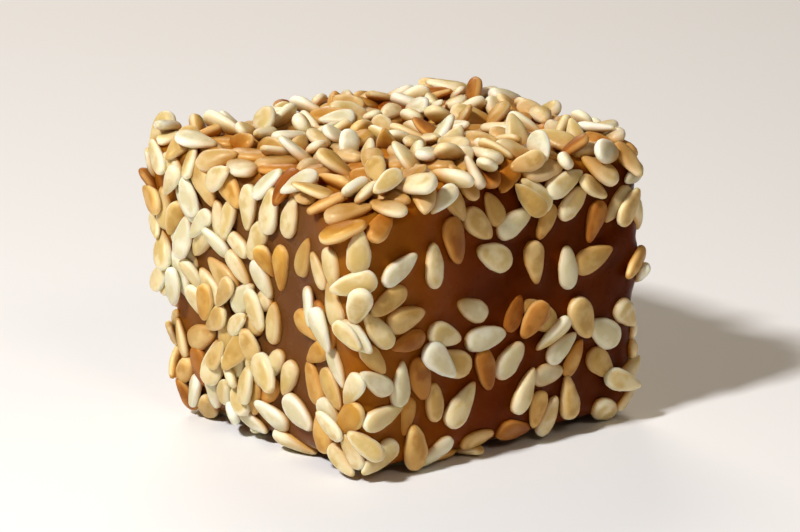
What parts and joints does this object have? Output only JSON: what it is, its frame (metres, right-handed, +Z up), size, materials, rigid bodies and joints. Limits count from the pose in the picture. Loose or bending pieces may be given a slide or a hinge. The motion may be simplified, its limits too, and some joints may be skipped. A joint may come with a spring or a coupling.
{
  "type": "sesame-coated soft nougat piece",
  "caption": "Hand-cut block of soft brown nougat, coated on every face with hulled sesame seeds.",
  "frame": {"origin": "on the surface that the piece stands on, below the middle of its box", "axes": "+X along the block's long side, +Y along its shorter side, +Z up; the -X -Y upright edge is the one nearest the picture's camera"},
  "size_m": [0.0264, 0.023, 0.0205],
  "materials": {
    "sesame": "satin",
    "nougat_candy": "gloss"
  },
  "bodies": {
    "root": {"nougat": "sesame"}
  },
  "joints": []
}
